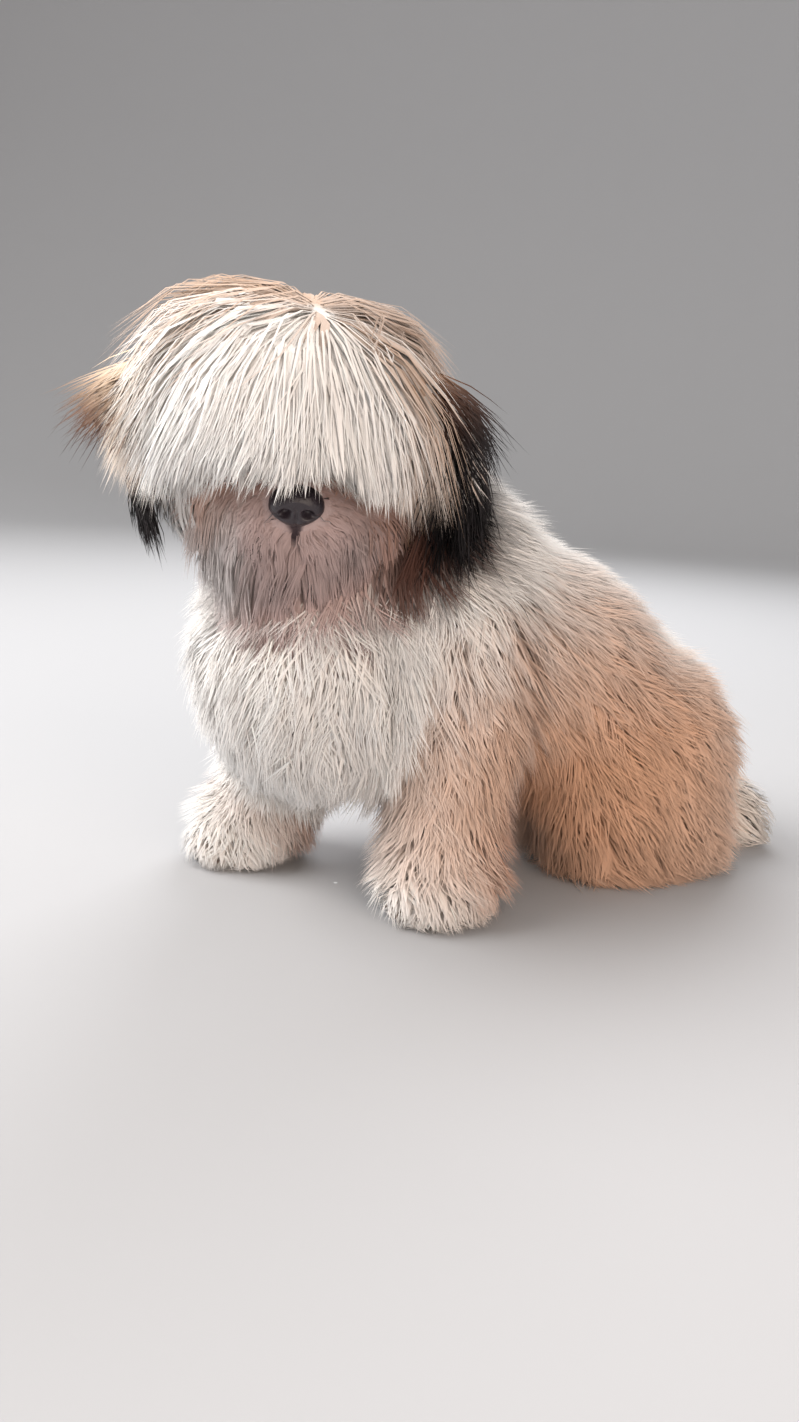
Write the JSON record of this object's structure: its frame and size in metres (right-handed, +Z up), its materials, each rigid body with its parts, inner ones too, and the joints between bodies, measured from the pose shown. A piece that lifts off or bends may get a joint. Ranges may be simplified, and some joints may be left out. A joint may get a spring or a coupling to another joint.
{
  "type": "shih tzu",
  "caption": "Life-size still model of a sitting shih tzu puppy, its head turned to its left and lowered, with a long shaggy coat.",
  "frame": {"origin": "on the floor, below the middle of the whole model's bounding box", "axes": "+Z up, -Y the way the chest faces, +X towards the dog's left side; the head is turned 63 degrees to the dog's left and lowered 26 degrees"},
  "size_m": [0.1896, 0.4024, 0.2902],
  "materials": {
    "coat_white": "soft long hair, white to cream with a warm apricot wash",
    "coat_head": "long hair, white forelock, tan crown and grey-brown moustache",
    "coat_ear": "long hair, brown at the root of the ear and near black at its end",
    "eye": "wet dark brown",
    "nose": "damp, finely pebbled, near black"
  },
  "bodies": {
    "root": {"eye_left": "eye", "eye_right": "eye", "nose": "nose", "ear_left": "coat_ear", "ear_right": "coat_ear", "head": "coat_head", "neck": "coat_white", "torso": "coat_white", "tail": "coat_white", "front_leg_left": "coat_white", "front_leg_right": "coat_white", "hind_leg_left": "coat_white", "hind_leg_right": "coat_white"}
  },
  "joints": []
}
